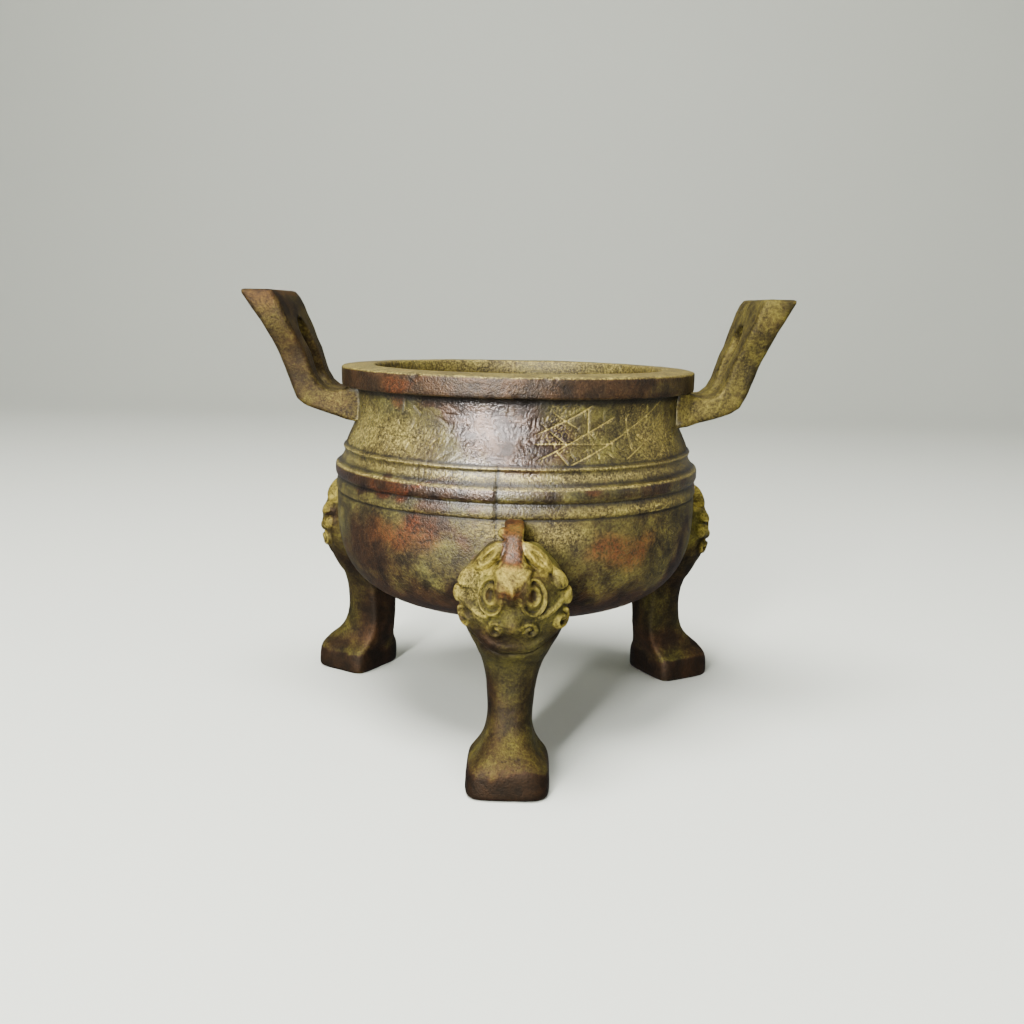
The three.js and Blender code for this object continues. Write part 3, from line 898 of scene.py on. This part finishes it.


# One leg's patina and painted shade; out counts from the bowl's axis along the leg, and side across it
def mark_leg(at, marks, angle):
    c, s = math.cos(math.radians(angle)), math.sin(math.radians(angle))
    out, side, z = at.x * c + at.y * s, -at.x * s + at.y * c, at.z
    leg = (out > 64.0) & (np.abs(side) < 23.0) & (z < 93.0) & ((at.r > 73.0) | (z < 50.0))
    face = leg & (out > 74.0) & (z > 46.0) & (z < 84.0)
    at.legs |= leg
    mark_mask(at, marks, leg, face, out, side)
    if angle == LEG_ANGLES[0]:
        cheek = face & (side < -9.0) & (z > 62.0) & (z < 78.0)
        marks["pale"][cheek] = 0.75 * step_between(0.5, 0.0, wander(at.x, at.y, z, 4.0, 103)[cheek])
    # the block of the foot is dark brown up to a wavy edge
    foot = leg & (z < FOOT_HEIGHT + 1.6 * np.sin(side / 4.0))
    above = leg & ~foot
    mottled = 0.55 * wander(at.x, at.y, z, 9.0, 97)[above]
    marks["olive"][foot] = -0.55
    marks["olive"][above] = 0.40 + 0.30 * step_between(50.0, 66.0, z[above]) + mottled
    marks["rust"][foot] = 0.25 * (side[foot] < 2.0)
    # painted shade: the shank and jaw under the mask are darkened, less low down at the instep
    shank = leg & (z < 58.0)
    painted_shade = 0.30 + 0.32 * step_between(16.0, 26.0, z[shank])
    marks["grime_and_shade"][shank] = np.maximum(marks["grime_and_shade"][shank], painted_shade)
    marks["grime_and_shade"][foot] = 0.78


# The handles' patina: rust at the left tip, straw yellow low on the right one, and painted shade on that
# one's front
def mark_handles(at, marks):
    handle = at.handle
    x, y, z = at.x[handle], at.y[handle], at.z[handle]
    right = x > 0
    front_edge = np.interp(z, [127, 136, 150, 166], [16.8, 16.8, 19.2, 21.8])
    marks["rust"][handle] = 0.55 * step_between(150.0, 168.0, z) * ~right * (np.abs(x) > 92.0)
    marks["pale"][handle] = 0.06 + 0.14 * step_between(84.0, 72.0, np.abs(x))
    # painted shade: the right handle's front is darker than the rest of the handles
    marks["grime_and_shade"][handle] = np.where(right & (y < 0.0) & (np.abs(y) > front_edge), 0.50, 0.40)
    marks["straw"][handle] = 0.25 * right * step_between(96.0, 84.0, x - 0.35 * (z - 140.0))
    marks["olive"][handle] = 0.3 + 0.25 * right


# The mouth: a red-brown lip face, pale dust on top and inside, and painted shade under the lip
def mark_mouth(at, marks):
    face = at.lip & (at.r > 69.2) & (at.z < 139.1)
    marks["olive"][face] = -0.5 + 0.9 * spots(at.ragged_degrees, at.ragged_z, LIP_FILM)[face]
    marks["pale"][face] = 0.04
    marks["grime_and_shade"][face] = 0.18
    marks["pale"][at.lip & ~face] = 0.8
    marks["pale"][at.inside] = 0.6
    # painted shade: a dark band on the neck just under the lip
    under = (at.z > 127.0) & (at.z < 132.6) & (at.r > 63.0) & (at.r < 69.5) & ~at.handle
    painted_shade = step_between(128.6, 130.6, at.z[under])
    marks["grime_and_shade"][under] = np.maximum(marks["grime_and_shade"][under], painted_shade)


# The ridge with its broken film, the grime of seam, crack and grooves, and the pale edges of the bands
def mark_bands(at, marks):
    z, degrees = at.z, at.degrees
    ridge = at.on_bowl & (z > 98.2) & (z < 102.3)
    film = np.where(degrees[ridge] > -75.0, np.where(degrees[ridge] < SEAM_AT, -0.25, 0.45), 0.3)
    marks["olive"][ridge] = film + 0.5 * wander(at.x, at.y, z, 7.0, 101)[ridge]
    seam = np.exp(-(((degrees - SEAM_AT) / 0.55) ** 2)) * (z > 88.0) * (z < 109.4) * at.on_bowl
    crack = crack_depth(degrees, z) * (at.on_bowl & (z > 80.0) & (z < 92.0))
    marks["grime_and_shade"] = np.maximum(marks["grime_and_shade"], np.maximum(0.95 * seam, crack))
    for low, middle, high in DARK_LINES:
        line = at.on_bowl * step_between(low, middle, z) * (1.0 - step_between(middle, high, z))
        marks["grime_and_shade"] = np.maximum(marks["grime_and_shade"], 0.9 * line)
    for middle, half in PALE_LINES:
        line = at.on_bowl * (1.0 - step_between(0.3 * half, half, np.abs(z - middle)))
        marks["pale"] = np.maximum(marks["pale"], 1.1 * line)


# Rubbed smooth at the front of the neck, on the bands and on the crests, less on the lip and the belly
def polish_of(at, rust):
    front = 1.0 - step_between(7.0, 20.0, np.abs(at.degrees + 7.0))
    bands = 0.3 + 0.5 * step_between(92.0, 99.0, at.z)
    polish = np.where(at.on_bowl, np.where(at.z > 110.0, 0.4 + 0.6 * front, bands), 0.0)
    polish[at.lip] = 0.36
    polish[at.legs] = 0.0
    polish[at.legs & (np.abs(at.z - 86.0) < 3.5) & (rust > 0.7)] = 0.55
    polish[at.handle] = 0.0
    return polish


# Stores at each vertex where dust, rust, olive film, grime and painted shade, straw yellow, pale wear and
# polish lie
def mark_surface(obj):
    at = surface_places(obj.data)
    _, deposit, ground = bowl_relief(at.x, at.y, at.r, at.z)
    marks = {"deposit": deposit, "ground": ground}
    for name in ("rust", "grime_and_shade", "straw"):
        marks[name] = np.zeros(len(at.r))
    marks["pale"] = np.where(at.on_bowl, spots(at.degrees, at.z, PALE_SPOTS), 0.0)
    bare = 1.15 * spots(at.ragged_degrees, at.ragged_z, DARK_SPOTS)
    marks["olive"] = np.where(at.on_bowl, FILM - bare, FILM)
    for angle in LEG_ANGLES:
        mark_leg(at, marks, angle)
    rusty = np.maximum(marks["rust"], spots(at.ragged_degrees, at.ragged_z, RUST_SPOTS))
    marks["rust"] = np.where(at.on_bowl, rusty, marks["rust"])
    mark_handles(at, marks)
    mark_mouth(at, marks)
    mark_bands(at, marks)
    marks["polish"] = polish_of(at, marks["rust"])
    for name, values in marks.items():
        attribute = obj.data.attributes.new(name, "FLOAT", "POINT")
        attribute.data.foreach_set("value", np.asarray(values, np.float32))


mark_surface(vessel)
vessel.data.shade_smooth()
vessel.data.set_sharp_from_angle(angle=math.radians(55.0))
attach(vessel, "root")
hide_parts("ding_vessel")


# The material of the bronze, and helpers that add to its nodes
bronze = bpy.data.materials.new("patinated_bronze")
bronze.use_nodes = True
tree = bronze.node_tree


def noise(place, scale, detail, rough, twist=0.0):
    made = tree.nodes.new("ShaderNodeTexNoise")
    settings = {"Scale": scale, "Detail": detail, "Roughness": rough, "Distortion": twist}
    for name, value in settings.items():
        made.inputs[name].default_value = value
    tree.links.new(place, made.inputs["Vector"])
    return made.outputs["Fac"]


def marked(name):
    made = tree.nodes.new("ShaderNodeAttribute")
    made.attribute_name = name
    return made.outputs["Fac"]


def math_of(operation, a, b, clamp=False):
    made = tree.nodes.new("ShaderNodeMath")
    made.operation = operation
    made.use_clamp = clamp
    for socket, value in zip(made.inputs, (a, b)):
        if isinstance(value, (int, float)):
            socket.default_value = value
        else:
            tree.links.new(value, socket)
    return made.outputs[0]


def times(a, b):
    return math_of("MULTIPLY", a, b)


def plus(a, b):
    return math_of("ADD", a, b)


# The sum of values times their weights
def weighted(*pairs):
    total = None
    for value, weight in pairs:
        part = times(value, weight)
        total = part if total is None else plus(total, part)
    return total


def ramp(value, low, high):
    made = tree.nodes.new("ShaderNodeMapRange")
    made.interpolation_type = "SMOOTHSTEP"
    tree.links.new(value, made.inputs["Value"])
    made.inputs["From Min"].default_value = low
    made.inputs["From Max"].default_value = high
    return made.outputs["Result"]


def blend(share, first, second, kind="MIX"):
    made = tree.nodes.new("ShaderNodeMix")
    made.data_type = "RGBA"
    made.blend_type = kind
    for socket, value in ((made.inputs[0], share), (made.inputs[6], first), (made.inputs[7], second)):
        if isinstance(value, (int, float)):
            socket.default_value = value
        elif isinstance(value, tuple):
            socket.default_value = (*value, 1.0)
        else:
            tree.links.new(value, socket)
    return made.outputs[2]


# Colours of the patina
BROWN = (0.048, 0.0225, 0.0090)
DARK_BROWN = (0.0160, 0.0092, 0.0052)
OLIVE = (0.036, 0.0300, 0.0060)
YELLOW_GREEN = (0.100, 0.0860, 0.0130)
GREY_GREEN = (0.030, 0.0300, 0.0110)
RUST = (0.105, 0.0240, 0.0050)
CREAM = (0.420, 0.3250, 0.0800)
STRAW = (0.300, 0.2350, 0.0380)
# grime and painted shade share this colour
GRIME_AND_SHADE = (0.004, 0.0030, 0.0020)

# Colour of the gloss on matte patina and on rubbed metal
MATTE_GLOSS = (0.14, 0.13, 0.11)
RUBBED_GLOSS = (1.0, 1.0, 1.0)


# Brown bronze under an olive film that lies where its mark and the noise agree
def film_colour(film_share, noises):
    brown = blend(ramp(noises.middle, 0.34, 0.66), DARK_BROWN, BROWN)
    patchy = weighted((noises.middle, 0.7), (noises.fine, 0.3))
    green = blend(ramp(patchy, 0.38, 0.66), OLIVE, YELLOW_GREEN)
    green = blend(ramp(noises.broad, 0.54, 0.76), green, GREY_GREEN)
    return blend(film_share, brown, green)


# Red blotches with broken edges, and straw-yellow patina on what stands out of the masks
def with_rust_and_straw(colour, noises):
    rust = weighted((noises.middle, 0.6), (noises.broad, 0.4), (marked("rust"), 0.75))
    rust_share = times(ramp(rust, 0.70, 1.22), ramp(noises.fine, 0.30, 0.62))
    colour = blend(times(rust_share, 0.7), colour, RUST)
    patchy = weighted((noises.middle, 0.7), (noises.fine, 0.3))
    straw_share = times(marked("straw"), ramp(patchy, 0.34, 0.62))
    return blend(straw_share, colour, STRAW)


# Pale dust: specks where the pale mark is, engraved lines, and the marks of the neck's ground
def dust_share(noises):
    specks = ramp(weighted((noises.specks, 0.5), (noises.fine, 0.6)), 0.46, 0.74)
    loose = times(marked("pale"), plus(times(specks, 0.6), 0.06))
    in_lines = plus(times(specks, 0.4), 0.55)
    in_lines = times(ramp(marked("deposit"), 0.72, 0.92), in_lines)
    in_ground = times(plus(specks, 0.4), 0.34)
    in_ground = times(ramp(marked("ground"), 0.45, 0.95), in_ground)
    return math_of("MAXIMUM", math_of("MAXIMUM", loose, in_lines), in_ground)


# Grain, small dark pits, grime and painted shade in the deepest places, painted shade in the creases, and
# edges that are worn lighter
def with_dirt_and_shade(colour, noises):
    grain = plus(weighted((noises.fine, 1.2), (noises.middle, 1.2)), -0.2)
    colour = blend(0.8, colour, grain, "MULTIPLY")
    pits = ramp(noises.specks, 0.40, 0.30)
    colour = blend(times(pits, 0.75), colour, GRIME_AND_SHADE)
    colour = blend(times(marked("grime_and_shade"), 0.88), colour, GRIME_AND_SHADE)
    # painted shade: concave places, where the surface curves inwards, are darkened
    bulge = tree.nodes.new("ShaderNodeNewGeometry").outputs["Pointiness"]
    colour = blend(times(ramp(bulge, 0.485, 0.43), 0.8), colour, GRIME_AND_SHADE)
    worn = times(ramp(bulge, 0.53, 0.60), ramp(noises.middle, 0.35, 0.60))
    return blend(times(worn, 0.3), colour, CREAM)


# Film and dust are rougher than bare metal, and rubbed places are smoother
def roughness_of(film_share, dust, polish, noises):
    rough = plus(times(film_share, 0.08), 0.52)
    rough = math_of("SUBTRACT", rough, times(polish, 0.34))
    rough = plus(rough, times(math_of("MINIMUM", dust, 1.0), 0.15))
    return plus(rough, times(noises.fine, 0.12))


def build_bronze():
    shader = tree.nodes["Principled BSDF"]
    place = tree.nodes.new("ShaderNodeTexCoord").outputs["Object"]
    noises = SimpleNamespace(
        broad=noise(place, 30.0, 6.0, 0.62, 0.5),
        middle=noise(place, 120.0, 7.0, 0.72, 0.3),
        fine=noise(place, 1000.0, 3.0, 0.6),
        specks=noise(place, 1900.0, 2.0, 0.5),
    )
    film = weighted(
        (noises.broad, 0.8), (noises.middle, 0.6), (noises.fine, 0.40), (marked("olive"), 0.6)
    )
    film_share = ramp(film, 0.88, 1.52)
    dust = dust_share(noises)
    polish = marked("polish")
    colour = film_colour(film_share, noises)
    colour = with_rust_and_straw(colour, noises)
    colour = blend(math_of("MINIMUM", dust, 0.92), colour, CREAM)
    bump = tree.nodes.new("ShaderNodeBump")
    bump.inputs["Strength"].default_value = 0.65
    bump.inputs["Distance"].default_value = 0.0005
    height = weighted((noises.fine, 0.7), (noises.specks, 0.5), (noises.middle, 0.8))
    tree.links.new(height, bump.inputs["Height"])
    shader.inputs["Specular IOR Level"].default_value = 0.5
    for name, value in (
        ("Base Color", with_dirt_and_shade(colour, noises)),
        ("Roughness", roughness_of(film_share, dust, polish, noises)),
        ("Metallic", math_of("SUBTRACT", 0.4, times(film_share, 0.3), clamp=True)),
        ("Specular Tint", blend(polish, MATTE_GLOSS, RUBBED_GLOSS)),
        ("Normal", bump.outputs["Normal"]),
    ):
        tree.links.new(value, shader.inputs[name])


build_bronze()
vessel.data.materials.clear()
vessel.data.materials.append(bronze)

# The camera of the photograph, in millimetres and degrees from the bowl's axis on the floor
CAMERA_DISTANCE = 423.95
CAMERA_HEIGHT = 163.01
CAMERA_YAW = math.radians(-0.17)
CAMERA_PITCH = math.radians(10.97)
CAMERA_ROLL = math.radians(1.21)
CAMERA_TURN = math.radians(0.5)
FOCAL_PIXELS = 1046.9
IMAGE_PIXELS = 1024.0
SENSOR_MM = 36.0


def make_camera():
    data = bpy.data.cameras.new("camera")
    data.sensor_width = SENSOR_MM
    data.lens = SENSOR_MM * FOCAL_PIXELS / IMAGE_PIXELS
    data.clip_start = 0.01
    data.clip_end = 50.0
    camera = bpy.data.objects.new("camera", data)
    bpy.context.scene.collection.objects.link(camera)
    sy, cy = math.sin(CAMERA_YAW), math.cos(CAMERA_YAW)
    sp, cp = math.sin(CAMERA_PITCH), math.cos(CAMERA_PITCH)
    ahead = Vector((sy * cp, cy * cp, -sp))
    level = Vector((cy, -sy, 0.0))
    above = level.cross(ahead)
    sr, cr = math.sin(CAMERA_ROLL), math.cos(CAMERA_ROLL)
    right = cr * level + sr * above
    up = -sr * level + cr * above
    turn = Matrix.Rotation(CAMERA_TURN, 4, "Z")
    axes = Matrix((right, up, -ahead)).transposed().to_4x4()
    place = turn @ Vector((0.0, -CAMERA_DISTANCE * MM, CAMERA_HEIGHT * MM)) + Vector((0.0, AXIS_Y * MM, 0.0))
    camera.matrix_world = Matrix.Translation(place) @ turn @ axes
    bpy.context.scene.camera = camera


make_camera()

# The floor and backdrop, in metres
FLOOR_FRONT = -3.0
FLOOR_BACK = 1.2
BEND_RADIUS = 0.8
BEND_STEPS = 12
BACKDROP_HEIGHT = 4.0
FLOOR_HALF_WIDTH = 4.0
FLOOR_COLOUR = (0.69, 0.71, 0.62, 1.0)


# A pale floor that bends up into a backdrop; the bronze doesn't mirror it
def make_floor():
    rows = [(FLOOR_FRONT, 0.0), (FLOOR_BACK, 0.0)]
    for i in range(1, BEND_STEPS + 1):
        turn = math.radians(90.0 * i / BEND_STEPS)
        rows.append((FLOOR_BACK + BEND_RADIUS * math.sin(turn), BEND_RADIUS - BEND_RADIUS * math.cos(turn)))
    rows.append((FLOOR_BACK + BEND_RADIUS, BACKDROP_HEIGHT))
    points, faces = [], []
    for y, z in rows:
        points += [(-FLOOR_HALF_WIDTH, y, z), (FLOOR_HALF_WIDTH, y, z)]
    for k in range(len(rows) - 1):
        faces.append((2 * k, 2 * k + 1, 2 * k + 3, 2 * k + 2))
    mesh = bpy.data.meshes.new("floor")
    mesh.from_pydata(points, [], faces)
    mesh.shade_smooth()
    floor = bpy.data.objects.new("floor", mesh)
    bpy.context.scene.collection.objects.link(floor)
    material = bpy.data.materials.new("floor")
    material.use_nodes = True
    shader = material.node_tree.nodes["Principled BSDF"]
    shader.inputs["Base Color"].default_value = FLOOR_COLOUR
    shader.inputs["Roughness"].default_value = 0.7
    mesh.materials.append(material)
    floor.visible_glossy = False


make_floor()


# One area light: its place and what it points at, in metres, its size and its power in watts
def make_light(name, place, target, size, power, diffuse=True):
    data = bpy.data.lights.new(name, "AREA")
    data.shape = "RECTANGLE"
    data.size, data.size_y = size
    data.energy = power
    light = bpy.data.objects.new(name, data)
    light.visible_diffuse = diffuse
    light.location = place
    light.rotation_euler = (Vector(target) - Vector(place)).to_track_quat("-Z", "Y").to_euler()
    bpy.context.scene.collection.objects.link(light)


# A tall soft light left of the camera, a narrow one behind it that adds only gloss, a soft light overhead and
# a weak one on the right
make_light("strip", (-0.36, -1.0, 0.45), (0.0, 0.0, 0.12), (0.07, 0.85), 22.0)
make_light("gleam", (-0.72, -1.9, 0.60), (0.0, 0.0, 0.12), (0.045, 1.2), 310.0, diffuse=False)
make_light("top", (-0.20, -0.25, 1.25), (0.05, 0.0, 0.0), (0.6, 0.6), 42.0)
make_light("fill", (1.2, -0.5, 0.6), (0.0, 0.0, 0.08), (1.0, 1.0), 6.0)

world = bpy.data.worlds.new("world")
world.use_nodes = True
world.node_tree.nodes["Background"].inputs["Color"].default_value = (0.8, 0.8, 0.8, 1.0)
world.node_tree.nodes["Background"].inputs["Strength"].default_value = 0.36
bpy.context.scene.world = world
